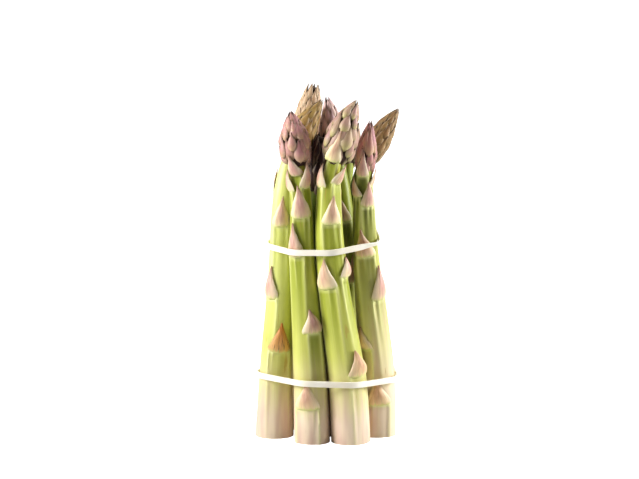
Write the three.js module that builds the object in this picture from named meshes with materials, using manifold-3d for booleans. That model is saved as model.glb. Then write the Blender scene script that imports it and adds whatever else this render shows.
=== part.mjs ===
// A standing bundle of nine asparagus spears, held by two flat rubber bands.
//
// Each spear is a tapering stalk, cut flat across its butt, with a bud of packed
// scales at its tip and single scale leaves lying against the stalk. The spears
// lean in at the waist, where the upper band pulls them together, and spread a
// little again above it.
//
// Units are millimetres and +Z is up. The origin is on the surface that the butts
// stand on, below the middle of the bundle. The front is towards -Y.

import * as THREE from "three";
import Module from "manifold-3d";

const wasm = await Module();
wasm.setup();

// Driving dimensions.
const STALK_SIDES = 14;
const STALK_STEPS = 13;
const ROOT_BELOW = 12; // length that a stalk is made below the cut, and then trimmed off
const GAP = 0.35; // clearance between pieces that touch
const SCALE_CLEARANCE = 0.5; // from a stalk's skin to the middle of a scale's inner side
const SCALE_THICKNESS = 0.8;
const SCALE_SWELL = 0.35; // how much thicker a scale is along its middle
const SCALE_HALF_ANGLE = THREE.MathUtils.degToRad(46); // how far a scale reaches round its stalk
const SCALE_COLUMNS = 4;
const SCALE_ROWS = 3;
const SCALE_POINT = 0.08; // width of a scale's point, as a share of its base
const BAND_WIDTH = 3.2; // a one-eighth inch produce band
const BAND_THICKNESS = 1.1;
const BAND_CLEARANCE = 0.7; // from what a band presses on to its middle line's inner side
const BAND_STEPS = 72;

// The bud at a tip, from its base to its point, in tiers of scales. radius is a
// share of the bud's widest radius and height a share of its length. A tier ends
// in a ring with points, over a narrower ring where the next tier comes out of it.
const BUD_SIDES = 16;
const BUD_TIER_SCALES = 4;
const BUD_POINT = 0.055; // how far a scale's point rises, as a share of the bud's length
const BUD_KEEL = 0.06; // how far the middle of a scale stands out, as a share of the radius
const BUD_RINGS = [
  { radius: 0, height: 0, tier: 0 },
  { radius: 0.76, height: 0, tier: 0 },
  { radius: 0.9, height: 0.12, tier: 0 },
  { radius: 0.97, height: 0.31, tier: 1 },
  { radius: 0.86, height: 0.325, tier: 1 },
  { radius: 0.93, height: 0.52, tier: 2 },
  { radius: 0.79, height: 0.535, tier: 2 },
  { radius: 0.75, height: 0.72, tier: 3 },
  { radius: 0.58, height: 0.735, tier: 3 },
  { radius: 0.45, height: 0.88, tier: 4 },
  { radius: 0.29, height: 0.895, tier: 4 },
  { radius: 0, height: 1, tier: 0 },
];

// The nine spears. line holds the middle of the stalk from its butt up to the end
// of the tip. neck is the height where the bud starts. A taper above 1 keeps the
// stalk thick near its butt and thins it faster above. scales are [height of the
// scale's base, direction that it faces, length, share of the usual width], where
// -90 faces the front and 0 the right, and the width may be left out.
const SPEARS = [
  {
    name: "left",
    line: [[-27.6, 15, 0], [-26.9, 14.5, 32], [-24.4, 14.5, 75], [-23.7, 15, 103],
           [-22.5, 15.5, 132], [-18.8, 19.4, 151], [-1.4, 22.4, 182]],
    butt: 10.5, taper: 0.85, neck: 146, neckRadius: 4.8, tipRadius: 7.6,
    colour: 0xa9bb4f, tipColour: 0xb59a63,
    scales: [[47.4, -80, 15.9], [75.7, -144, 17.5], [114.9, -94, 15.4], [132, 150, 12]],
  },
  {
    name: "front_left",
    line: [[-7.2, 0, 0], [-8.2, 1.5, 32], [-10.9, 4.5, 75], [-12.6, 6.8, 103],
           [-13.2, 6.2, 127], [-14.6, 5, 145], [-18.7, 3.4, 177.5]],
    butt: 9.6, taper: 1.2, neck: 147, neckRadius: 5.2, tipRadius: 8.6,
    colour: 0x9fb23c, tipColour: 0xc09a98,
    scales: [[18.7, -106, 14.8], [58.7, -60, 12.7, 0.62], [99.6, -124, 18.6], [121, -90, 17.5],
             [135.2, -168, 12, 0.8], [137.4, -42, 13.6, 0.82], [145, -112, 12.5]],
  },
  {
    name: "front_right",
    line: [[13.4, 0, 0], [11.8, 1, 32], [5.7, 2.6, 75], [2.4, 3.3, 103],
           [1.6, 3.5, 125], [3.2, 3, 147], [16.8, 2, 183.4]],
    butt: 10.4, taper: 1.7, neck: 149, neckRadius: 5.4, tipRadius: 8.8,
    colour: 0xa4b845, tipColour: 0xc4a38c,
    scales: [[35.9, -38, 13.8], [83.7, -123, 15.9], [88.3, -16, 11], [117.7, -76, 15.4],
             [137, -156, 11.5, 0.75], [140, -38, 12.5, 0.75], [151.7, -102, 15.4]],
  },
  {
    name: "right",
    line: [[28, 17, 0], [27.9, 16.5, 32], [23.8, 15, 75], [21.2, 14, 103],
           [20.5, 12.6, 127], [20.4, 12, 142], [24.1, 12, 172]],
    butt: 10.2, taper: 1.35, neck: 141, neckRadius: 4.9, tipRadius: 6.7,
    colour: 0x8b9a2e, tipColour: 0xb98a8c,
    scales: [[18.1, -92, 14], [49.1, -144, 12.2], [75, -38, 18.6], [99.1, -92, 14.9],
             [125.9, -62, 13.6], [131, -152, 10, 0.9], [137, -14, 11.5, 0.7], [142.3, -108, 13]],
  },
  {
    name: "back_tall",
    line: [[-18, 36, 0], [-17.2, 35.5, 32], [-15, 33, 75], [-14, 31.6, 103],
           [-12.2, 32.6, 130], [-12.4, 37.6, 152], [-6.0, 40.4, 189]],
    butt: 8.8, taper: 1.2, neck: 150, neckRadius: 4.9, tipRadius: 6.7,
    colour: 0x9cae42, tipColour: 0xb8a06a,
    scales: [[38, 120, 17], [70, 170, 15], [114, 75, 13]],
  },
  {
    name: "back_middle",
    line: [[9.3, 37.5, 0], [10, 35, 32], [11, 28.4, 75], [10.4, 22.8, 103],
           [9.2, 23.6, 125], [6.9, 25.6, 143], [0.6, 28, 183.5]],
    butt: 8.8, taper: 1.2, neck: 146, neckRadius: 4.6, tipRadius: 6.7,
    colour: 0x879634, tipColour: 0x9d7d82,
    scales: [[40, 112, 17], [84, -60, 15], [116, -88, 12]],
  },
  {
    name: "back_right",
    line: [[28.5, 39.5, 0], [27.6, 39, 32], [22.8, 37.2, 75], [18, 34.8, 103],
           [17.6, 32.4, 128], [23.2, 30.4, 149], [39.9, 32, 176.3]],
    butt: 9.1, taper: 1.2, neck: 147, neckRadius: 4.9, tipRadius: 6.6,
    colour: 0x97a83c, tipColour: 0xb08a5c,
    scales: [[38, 40, 18], [72, 90, 16], [108, 20, 13]],
  },
  {
    name: "inner",
    line: [[1, 18.6, 0], [0.2, 18.8, 32], [-2.6, 19, 75], [-4, 18.8, 103],
           [-4.6, 20, 125], [-4.4, 20, 140], [-1.6, 17.4, 164]],
    butt: 8.6, taper: 1.2, neck: 128, neckRadius: 4.6, tipRadius: 5.4,
    colour: 0x7f8f30, tipColour: 0x8d6a6a,
    scales: [[60, -90, 15], [108, 100, 12]],
  },
  {
    name: "back_rear",
    line: [[-4, 51.2, 0], [-3.4, 49, 32], [0.4, 40.5, 75], [3.4, 35.9, 103],
           [7.6, 37.4, 125], [11.4, 41, 145], [14.6, 44.6, 174]],
    butt: 8.8, taper: 1.2, neck: 143, neckRadius: 4.6, tipRadius: 6.4,
    colour: 0x93a53c, tipColour: 0xa98d7a,
    scales: [[42, 95, 17], [80, 60, 15], [120, 110, 12]],
  },
];

// The bands. Each lies in a plane that is height high at the origin and rises by
// slope towards +X and +Y.
const BANDS = [
  { name: "lower_rubber_band", height: 33, slope: [-0.03, 0.0] },
  { name: "upper_rubber_band", height: 103.5, slope: [0.05, 0.16] },
];

// A spear's middle line as a curve, with a straight root below the cut so that
// the trim makes a flat butt.
class Spear {
  constructor(data) {
    Object.assign(this, data);
    const points = data.line.map((p) => new THREE.Vector3(...p));
    const root = points[0].clone().sub(points[1]).setLength(ROOT_BELOW).add(points[0]);
    this.curve = new THREE.CatmullRomCurve3([root, ...points], false, "centripetal");
    this.top = points.at(-1).z;
    this.bottom = root.z;
  }

  // The curve's parameter where the line is at a height.
  parameter(z) {
    let low = 0;
    let high = 1;
    for (let i = 0; i < 40; i++) {
      const middle = (low + high) / 2;
      if (this.curve.getPoint(middle).z < z) low = middle;
      else high = middle;
    }
    return (low + high) / 2;
  }

  // The middle, the two directions across and the direction along, at a height.
  frame(z) {
    const t = this.parameter(z);
    const along = this.curve.getTangent(t);
    const across = new THREE.Vector3(1, 0, 0).projectOnPlane(along).normalize();
    const away = new THREE.Vector3().crossVectors(along, across);
    return { middle: this.curve.getPoint(t), across, away, along };
  }

  // The stalk's radius at a height.
  radius(z) {
    const share = THREE.MathUtils.clamp(z / this.neck, 0, 1);
    return this.butt + (this.neckRadius - this.butt) * share ** this.taper;
  }

  // The radius of the stalk or, above the neck, of the bud's fullest outline.
  skin(z) {
    const share = (z - this.neck) / (this.top - this.neck);
    if (share < -BUD_POINT) return this.radius(z);
    const swell = THREE.MathUtils.clamp(0.82 + 1.4 * share, 0.82, 1 + BUD_KEEL);
    return Math.max(this.radius(z), this.tipRadius * swell);
  }

  // How far out the spear reaches at an angle and height, with its scales.
  reach(angle, z) {
    const covered = this.scales.some(([base, degrees, length]) => {
      const up = (z - base) / length;
      const aside = Math.cos(angle - THREE.MathUtils.degToRad(degrees));
      return up > -0.1 && up < 1.1 && aside > Math.cos(SCALE_HALF_ANGLE * 1.15);
    });
    return this.skin(z) + (covered ? SCALE_CLEARANCE + SCALE_THICKNESS + SCALE_SWELL : 0);
  }

  // A point at a distance and angle from the middle line, at a height along it.
  point(distance, angle, z) {
    const { middle, across, away } = this.frame(z);
    return middle
      .addScaledVector(across, distance * Math.cos(angle))
      .addScaledVector(away, distance * Math.sin(angle));
  }
}

// Moves each vertex of a geometry to where the function puts it.
function reshape(geometry, place) {
  const at = geometry.getAttribute("position");
  for (let i = 0; i < at.count; i++) {
    const p = place(new THREE.Vector3().fromBufferAttribute(at, i));
    at.setXYZ(i, p.x, p.y, p.z);
  }
  geometry.deleteAttribute("normal");
  geometry.deleteAttribute("uv");
  return geometry;
}

// A lathed profile, [radius, height] pairs, bent along a spear's middle line.
function turned(spear, profile, sides) {
  const lathe = new THREE.LatheGeometry(profile.map((p) => new THREE.Vector2(...p)), sides);
  return reshape(lathe, (p) => spear.point(Math.hypot(p.x, p.z), Math.atan2(-p.z, p.x), p.y));
}

// A closed geometry as a manifold-3d solid.
function solid(geometry) {
  const merged = mergeByPlace(geometry);
  return new wasm.Manifold(
    new wasm.Mesh({ numProp: 3, vertProperties: merged.vertices, triVerts: merged.triangles }),
  );
}

// A geometry's vertices with those at the same place made one.
function mergeByPlace(geometry) {
  const at = geometry.getAttribute("position");
  const corners = geometry.index ? Array.from(geometry.index.array) : [...Array(at.count).keys()];
  const found = new Map();
  const places = [];
  const merged = corners.map((corner) => {
    const p = [at.getX(corner), at.getY(corner), at.getZ(corner)];
    const key = p.map((value) => value.toFixed(3)).join();
    if (!found.has(key)) {
      found.set(key, found.size);
      places.push(...p);
    }
    return found.get(key);
  });
  const triangles = [];
  for (let i = 0; i < merged.length; i += 3) {
    const [a, b, c] = merged.slice(i, i + 3);
    if (a !== b && b !== c && c !== a) triangles.push(a, b, c);
  }
  return { vertices: new Float32Array(places), triangles: new Uint32Array(triangles) };
}

// A manifold-3d solid back as a geometry.
function geometryOf(made) {
  const { vertProperties, triVerts } = made.getMesh();
  return new THREE.BufferGeometry()
    .setAttribute("position", new THREE.BufferAttribute(vertProperties, 3))
    .setIndex(new THREE.BufferAttribute(triVerts, 1));
}

// The stalk, made a little too long and cut flat where the bundle stands.
function stalk(spear) {
  const bottom = spear.bottom + GAP;
  const top = spear.neck - GAP;
  const profile = [[0, bottom]];
  for (let i = 0; i <= STALK_STEPS; i++) {
    const z = THREE.MathUtils.lerp(bottom, top, i / STALK_STEPS);
    profile.push([spear.radius(z), z]);
  }
  profile.push([0, top]);
  const cutter = new THREE.BoxGeometry(200, 200, 100).translate(0, 0, -50);
  return geometryOf(solid(turned(spear, profile, STALK_SIDES)).subtract(solid(cutter)));
}

// The bud: tiers of scales, where each tier's points stand over the clefts of the
// tier below it.
function tip(spear) {
  const length = spear.top - spear.neck;
  const outline = BUD_RINGS.map(({ radius }, i) => new THREE.Vector2(radius, i));
  return reshape(new THREE.LatheGeometry(outline, BUD_SIDES), (p) => {
    const ring = BUD_RINGS[Math.round(p.y)];
    const angle = Math.atan2(-p.z, p.x);
    const point = ring.tier > 0 ? Math.cos(BUD_TIER_SCALES * angle + ring.tier * Math.PI) : 0;
    const radius = ring.radius * spear.tipRadius * (1 + BUD_KEEL * point);
    return spear.point(radius, angle, spear.neck + length * (ring.height + BUD_POINT * point));
  });
}

// A scale leaf: a thin slab, narrowed to a point and wrapped round the stalk.
function scale(spear, [base, degrees, length, width = 1]) {
  const slab = new THREE.BoxGeometry(1, 1, 1, SCALE_COLUMNS, SCALE_ROWS, 1);
  const facing = THREE.MathUtils.degToRad(degrees);
  return reshape(slab, (p) => {
    const up = p.y + 0.5;
    const narrowing = Math.max(1 - up ** 1.35, SCALE_POINT);
    const angle = facing + 2 * p.x * SCALE_HALF_ANGLE * width * narrowing;
    const z = base + up * length;
    const swell = SCALE_SWELL * Math.sin(Math.PI * up) * (1 - 4 * p.x ** 2);
    const thickness = SCALE_THICKNESS * (1 - 0.5 * up) + swell;
    return spear.point(spear.skin(z) + SCALE_CLEARANCE + (p.z + 0.5) * thickness, angle, z);
  });
}

// The shortest loop round a set of [x, y] points, anticlockwise.
function hull(points) {
  const sorted = [...points].sort((a, b) => a[0] - b[0] || a[1] - b[1]);
  const turn = (o, a, b) => (a[0] - o[0]) * (b[1] - o[1]) - (a[1] - o[1]) * (b[0] - o[0]);
  const half = (list) => {
    const kept = [];
    for (const p of list) {
      while (kept.length > 1 && turn(kept.at(-2), kept.at(-1), p) <= 0) kept.pop();
      kept.push(p);
    }
    return kept.slice(0, -1);
  };
  return [...half(sorted), ...half(sorted.reverse())];
}

// A taut band: its middle line is the shortest loop round the stalks, and its
// section is a flat rectangle with its wide side on the stalks.
function band(spears, { height, slope }) {
  const level = (x, y) => height + slope[0] * x + slope[1] * y;
  const outside = BAND_CLEARANCE + BAND_THICKNESS / 2;
  const around = [];
  for (const spear of spears) {
    const start = spear.frame(height).middle;
    const z = level(start.x, start.y);
    for (let i = 0; i < 48; i++) {
      const angle = (i / 24) * Math.PI;
      const p = spear.point(spear.reach(angle, z) + outside, angle, z);
      around.push([p.x, p.y]);
    }
  }
  const loop = hull(around).map(([x, y]) => new THREE.Vector3(x, y, level(x, y)));
  const route = new THREE.CatmullRomCurve3(loop, true, "centripetal");
  const rings = [];
  for (let i = 0; i < BAND_STEPS; i++) {
    const middle = route.getPointAt(i / BAND_STEPS);
    const along = route.getTangentAt(i / BAND_STEPS);
    const outward = new THREE.Vector3(along.y, -along.x, 0).normalize();
    rings.push({ middle, outward, upward: new THREE.Vector3().crossVectors(outward, along) });
  }
  const section = new THREE.BoxGeometry(1, 1, 1, BAND_STEPS, 1, 1);
  reshape(section, (p) => {
    const ring = rings[Math.round((p.x + 0.5) * BAND_STEPS) % BAND_STEPS];
    return ring.middle
      .clone()
      .addScaledVector(ring.outward, p.z * BAND_THICKNESS)
      .addScaledVector(ring.upward, p.y * BAND_WIDTH);
  });
  return withoutEndCaps(section);
}

// A closed ring has no ends: the box's two end faces meet inside it and go.
function withoutEndCaps(box) {
  const [right, left] = box.groups;
  const indices = Array.from(box.index.array).slice(right.count + left.count);
  return box.setIndex(indices);
}

function piece(name, geometry, color, roughness) {
  const material = new THREE.MeshStandardMaterial({ color, roughness, metalness: 0 });
  const mesh = new THREE.Mesh(geometry, material);
  mesh.name = name;
  return mesh;
}

const bundle = new THREE.Group();
const spears = SPEARS.map((data) => new Spear(data));
for (const spear of spears) {
  bundle.add(piece(`${spear.name}_stalk`, stalk(spear), spear.colour, 0.45));
  bundle.add(piece(`${spear.name}_tip`, tip(spear), spear.tipColour, 0.6));
  spear.scales.forEach((leaf, i) => {
    bundle.add(piece(`${spear.name}_scale_${i + 1}`, scale(spear, leaf), 0xc9a58f, 0.55));
  });
}
for (const data of BANDS) {
  bundle.add(piece(data.name, band(spears, data), 0xf3efe2, 0.5));
}

// Sets the origin below the middle of the bundle.
const middle = new THREE.Box3().setFromObject(bundle).getCenter(new THREE.Vector3());
bundle.position.set(-middle.x, -middle.y, 0);

export default bundle;
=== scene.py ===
"""A standing bundle of nine asparagus spears, tied by two flat rubber bands.

Each spear is modelled straight and upright first, its stalk, its scale leaves
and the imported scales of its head, and is then bent along its own middle line,
which is read from the CAD frame. Lengths are metres, +Z is up, and the front of
the bundle is towards -Y. A place on a spear is given by its reach, the length
along the middle line from the butt, and by the direction that it faces.
"""

import functools
import math
import random
from collections import namedtuple

import bmesh
import bpy
import numpy as np
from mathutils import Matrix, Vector


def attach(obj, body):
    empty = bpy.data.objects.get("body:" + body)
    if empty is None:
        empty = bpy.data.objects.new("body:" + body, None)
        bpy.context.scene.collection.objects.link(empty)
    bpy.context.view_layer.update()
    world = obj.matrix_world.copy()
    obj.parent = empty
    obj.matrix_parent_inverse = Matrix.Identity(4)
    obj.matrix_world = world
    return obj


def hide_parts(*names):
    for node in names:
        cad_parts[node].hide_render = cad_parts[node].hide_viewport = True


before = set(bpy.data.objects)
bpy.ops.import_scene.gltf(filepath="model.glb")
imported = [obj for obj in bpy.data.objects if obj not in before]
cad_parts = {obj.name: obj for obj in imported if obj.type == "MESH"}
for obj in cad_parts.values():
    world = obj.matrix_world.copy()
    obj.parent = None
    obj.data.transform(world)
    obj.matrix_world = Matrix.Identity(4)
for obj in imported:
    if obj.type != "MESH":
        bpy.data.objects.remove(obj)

bl_info = {
    "name": "Asparagus Bundle",
    "version": (1, 0, 0),
    "blender": (4, 5, 0),
    "location": "View3D > Sidebar > Asparagus",
    "description": "Models a tied bundle of asparagus spears around its CAD frame",
    "category": "Add Mesh",
}

MM = 0.001
BODY = "root"
ROOT = 5 * MM  # length that a straight spear has below the cut of its butt
NECK_LAP = 5 * MM  # how far a stalk runs up inside its head
LINE_STEP = 3 * MM  # spacing of the sections that a middle line is read from
BLANK_RADIUS = 10 * MM  # radius of the cylinder that each stalk is made from
PALE_SPAN = 0.19  # height in metres that the stalk colours' ramps run over
GOLDEN_ANGLE = math.radians(137.5)


def linear(hex_colour):
    """An sRGB hex colour as linear red, green and blue."""
    parts = [int(hex_colour[i : i + 2], 16) / 255 for i in (1, 3, 5)]
    return tuple(c / 12.92 if c <= 0.04045 else ((c + 0.055) / 1.055) ** 2.4 for c in parts)


# ---------------------------------------------------------------- settings


def colour_setting(name, description, hex_colour):
    return bpy.props.FloatVectorProperty(
        name=name,
        description=description,
        default=linear(hex_colour),
        subtype="COLOR",
        min=0,
        max=1,
    )


def length_setting(name, description, millimetres):
    return bpy.props.FloatProperty(
        name=name,
        description=description,
        default=millimetres * MM,
        unit="LENGTH",
        subtype="DISTANCE",
    )


def count_setting(name, description, count, least):
    return bpy.props.IntProperty(name=name, description=description, default=count, min=least)


def number_setting(name, description, value):
    return bpy.props.FloatProperty(name=name, description=description, default=value)


def angle_setting(name, description, degrees):
    return bpy.props.FloatProperty(
        name=name, description=description, default=math.radians(degrees), subtype="ANGLE"
    )


class AsparagusStalkSettings(bpy.types.PropertyGroup):
    """Sizes and colours of the stalks."""

    sides: count_setting("Sides", "Flat sides round a stalk before smoothing", 64, 12)
    rows: count_setting("Rows", "Rows of faces along a stalk are six times this", 17, 4)
    ridge: length_setting("Ridge", "Height of the ridges that run down from a leaf's corners", 0.35)
    flat: length_setting("Flat", "Depth of the flat side between two ridges", 0.75)
    node: length_setting("Node", "How far the stalk swells where a leaf grows from it", 0.45)
    butt: colour_setting("Butt", "Colour of the pale end that grew below ground", "#e6d3b8")
    blush: colour_setting("Blush", "Pink streaks just above the butt", "#c49d92")
    # On the ridges the rim colour is a painted highlight; at the nodes and in the fine fibres it is the
    # stalk's own pale yellow-green.
    rim: colour_setting("Rim", "Pale yellow-green of ridges and nodes", "#e5e6a4")


class AsparagusLeafSettings(bpy.types.PropertyGroup):
    """Sizes and colours of the scale leaves."""

    thickness: length_setting("Thickness", "Thickness of a scale leaf on a thick stalk", 0.5)
    bulge: number_setting("Bulge", "Swell of a leaf's middle, as a share of the radius", 0.05)
    lean: number_setting("Lean", "How far a point may lean sideways, as a share of the width", 0.16)
    roughness: number_setting("Roughness", "Unevenness of a leaf, as a share of its width", 0.02)
    margin: colour_setting("Margin", "Pale papery edge", "#e9dcbf")
    base: colour_setting("Base", "Fleshy base, where the leaf leaves the stalk", "#d2d487")
    mauve: colour_setting("Mauve", "Middle of a fresh leaf", "#dcaaa2")
    tan: colour_setting("Tan", "Middle of a drier leaf", "#ecc99e")
    dry: colour_setting("Dry", "Withered leaf", "#c07a2c")


class AsparagusBandSettings(bpy.types.PropertyGroup):
    """Sizes and colours of the rubber bands."""

    width: length_setting("Width", "Width of a band", 3.2)
    thickness: length_setting("Thickness", "Thickness of a band", 1.1)
    rounding: length_setting("Rounding", "Radius of a band's long edges", 0.25)
    twist: angle_setting("Twist", "How far the upper band rolls over at the right", 55)
    rubber: colour_setting("Rubber", "Natural rubber", "#faf5e8")


class AsparagusStudioSettings(bpy.types.PropertyGroup):
    """Floor, lights and camera."""

    floor: colour_setting("Table", "Opal acrylic", "#c8c8c8")
    camera_place: bpy.props.FloatVectorProperty(
        name="Camera place",
        description="Where the camera stands",
        default=(-0.00504, -1.2146, 0.279),
        subtype="TRANSLATION",
        unit="LENGTH",
    )
    camera_pitch: angle_setting("Camera pitch", "How far the camera looks down", 8.125)
    camera_lens: number_setting("Lens", "Focal length in millimetres, on a 36 mm wide sensor", 128)


SETTINGS = {
    "asparagus_stalk": AsparagusStalkSettings,
    "asparagus_leaf": AsparagusLeafSettings,
    "asparagus_band": AsparagusBandSettings,
    "asparagus_studio": AsparagusStudioSettings,
}

# The waist, as described below, of a spear whose neck hardly shows.
SLIGHT_WAIST = (140, 0.1)

# How each spear differs. green is its stalk's green, and shade a darker green that is
# painted shade on the flat sides between its ridges and that its dark streaks also take;
# pale is how high the butt's cream reaches. head gives the colours of a head scale from
# its base to its point, around how many scales go round the head, count how many its
# spiral has, swell how wide the head is as a share of the CAD's, and blunt how much of
# its point is missing, as a share of its length. waist is where the stalk steps in under
# its head, in millimetres of reach, and by what share of its radius. front lists the
# scales that show best: how far up the head each starts, the direction it faces in
# degrees, its length as a share of the head's, and its width in millimetres.
LOOKS = {
    "left": dict(
        # Its greens are painted pale, as painted light where the left light falls strongest.
        green="#dfe392", shade="#cbd06c", pale=0.034, waist=SLIGHT_WAIST,
        around=8, count=46, blunt=0, swell=1.04,
        head=("#c6b06c", "#a38250", "#6f5130"), front=(),
    ),
    "front_left": dict(
        green="#b3b84e", shade="#848f1a", pale=0.030, waist=(136, 0.24),
        around=7, count=38, blunt=0, swell=0.98,
        head=("#dab690", "#c69090", "#936768"),
        front=(
            (0.10, -72, 0.43, 6.6), (0.31, -100, 0.34, 5.0), (0.46, -58, 0.41, 5.0),
            (0.49, -132, 0.30, 3.8), (0.68, -118, 0.26, 3.3), (0.20, -146, 0.36, 5.6),
            (0.29, -36, 0.46, 5.2), (0.59, -86, 0.31, 3.0),
        ),
    ),
    "front_right": dict(
        green="#b9bd56", shade="#8a951e", pale=0.030, waist=(138, 0.26),
        around=7, count=42, blunt=0, swell=0.98,
        head=("#cbc284", "#b58c88", "#86605c"),
        front=(
            (0.24, -69, 0.38, 7.0), (0.47, -95, 0.33, 5.8), (0.36, -135, 0.38, 5.2),
            (0.67, -118, 0.25, 4.2), (0.69, -66, 0.27, 3.6), (0.55, -46, 0.29, 4.2),
            (0.09, -14, 0.27, 5.4), (0.20, -150, 0.36, 5.4),
            (0.15, -42, 0.30, 5.6),
        ),
    ),
    "right": dict(
        # Its greens are painted dark, as painted shade from the front right spear's shadow.
        green="#808824", shade="#454e08", pale=0.058, waist=(131, 0.16),
        around=8, count=40, blunt=0, swell=0.84,
        head=("#cfac86", "#b97e84", "#85525c"),
        front=(
            (0.34, -74, 0.54, 5.4), (0.50, -110, 0.36, 3.4), (0.22, -138, 0.52, 5.0),
            (0.40, -38, 0.54, 4.8),
        ),
    ),
    "back_tall": dict(
        green="#a6ae38", shade="#808a22", pale=0.036, waist=SLIGHT_WAIST,
        around=8, count=54, blunt=0.15, swell=1.06,
        head=("#dac7a4", "#c9a684", "#9c7658"), front=(),
    ),
    "back_middle": dict(
        green="#8d962c", shade="#6b7419", pale=0.036, waist=SLIGHT_WAIST,
        around=8, count=40, blunt=0, swell=1.14,
        # Its head colours are painted paler, as painted light against the shade of the heads round it.
        head=("#e9d0b6", "#d4b2b2", "#ab8c90"), front=(),
    ),
    "back_right": dict(
        # Its greens are painted dark, as painted shade in the gap where it shows.
        green="#6c7420", shade="#4a5212", pale=0.036, waist=SLIGHT_WAIST,
        around=8.5, count=46, blunt=0, swell=1.0,
        head=("#b29a66", "#96744f", "#6c4c34"), front=(),
    ),
    "inner": dict(
        green="#6c7a2a", shade="#4e5a1c", pale=0.036, waist=SLIGHT_WAIST,
        around=8, count=36, blunt=0.15, swell=1.3,
        # Its head colours are painted near black, as painted shade deep inside the bundle.
        head=("#5a4238", "#452c30", "#2e1c20"), front=(),
    ),
    "back_rear": dict(
        green="#98a234", shade="#737e1e", pale=0.036, waist=SLIGHT_WAIST,
        around=8, count=40, blunt=0, swell=1.1,
        head=("#b9a479", "#a98a80", "#80625c"), front=(),
    ),
}

# How tan and how withered the scale leaves of a spear are, from 0 to 1, in the order of
# their numbers. None, and every leaf that isn't listed, is left to chance.
LEAF_TONES = {
    "left": (
        (1.0, 0.9), (0.3, 0.0), (0.6, 0.0),
    ),
    "front_left": (
        (0.7, 0.1), (0.25, 0.0), (0.4, 0.0), (0.3, 0.0), None, (0.4, 0.0), (0.0, 0.0),
    ),
    "front_right": (
        (1.0, 0.3), (0.8, 0.0), (0.4, 0.0), (0.8, 0.0), None, (0.5, 0.0), (0.9, 0.0),
    ),
    "right": (
        (0.9, 0.25), (0.7, 0.2), (0.2, 0.0), (0.5, 0.15), (0.1, 0.0), (0.1, 0.0),
        (0.2, 0.0), (0.0, 0.0),
    ),
}

# ---------------------------------------------------------------- reading the frame


def node_triangles(name):
    """A CAD node's triangles, as an array of their corners."""
    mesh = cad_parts[name].data
    mesh.calc_loop_triangles()
    places = np.array([v.co[:] for v in mesh.vertices])
    corners = np.array([t.vertices[:] for t in mesh.loop_triangles])
    return places[corners]


def corners_of(triangles):
    return np.unique(triangles.reshape(-1, 3).round(6), axis=0)


def section(triangles, height):
    """Where a level plane cuts the edges of some triangles."""
    start = triangles
    end = np.roll(triangles, -1, axis=1)
    above = start[..., 2] - height
    below = height - end[..., 2]
    cut = above * below > 0
    share = (above[cut] / (above[cut] + below[cut]))[:, None]
    return start[cut] + share * (end[cut] - start[cut])


def middle_of(points):
    return (points.min(axis=0) + points.max(axis=0)) / 2


def angle_between(a, b):
    """How far apart two directions are, in radians, from 0 to pi."""
    return np.abs((a - b + math.pi) % (2 * math.pi) - math.pi)


Leaf = namedtuple("Leaf", "node start facing length angle")


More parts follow.
